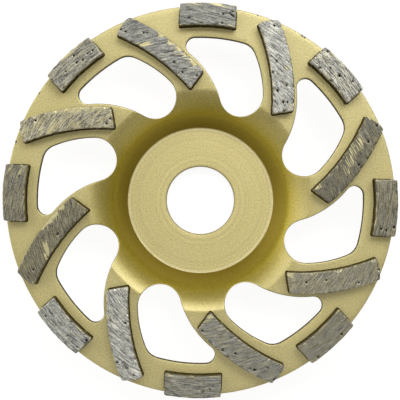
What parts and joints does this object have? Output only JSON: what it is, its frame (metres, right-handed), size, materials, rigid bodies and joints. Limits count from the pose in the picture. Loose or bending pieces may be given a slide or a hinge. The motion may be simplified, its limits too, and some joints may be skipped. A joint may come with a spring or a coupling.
{
  "type": "diamond cup grinding wheel",
  "caption": "Grinding wheel for an angle grinder: recessed steel cup with curved windows, and bowed diamond segments brazed to its flange.",
  "frame": {"origin": "on the bore's axis at the hub's flat back face", "axes": "+Z along the bore's axis, out of the working face; +Y through the middle of short_segment_1; the segments are numbered clockwise as seen from the working face"},
  "size_m": [0.125, 0.125, 0.022],
  "materials": {
    "gold_painted_steel": "satin",
    "sintered_segment": "satin"
  },
  "bodies": {
    "root": {"cup_body": "gold_painted_steel", "long_segment_1": "sintered_segment", "long_segment_2": "sintered_segment", "long_segment_3": "sintered_segment", "long_segment_4": "sintered_segment", "long_segment_5": "sintered_segment", "long_segment_6": "sintered_segment", "long_segment_7": "sintered_segment", "long_segment_8": "sintered_segment", "short_segment_1": "sintered_segment", "short_segment_2": "sintered_segment", "short_segment_3": "sintered_segment", "short_segment_4": "sintered_segment", "short_segment_5": "sintered_segment", "short_segment_6": "sintered_segment", "short_segment_7": "sintered_segment", "short_segment_8": "sintered_segment"}
  },
  "joints": []
}
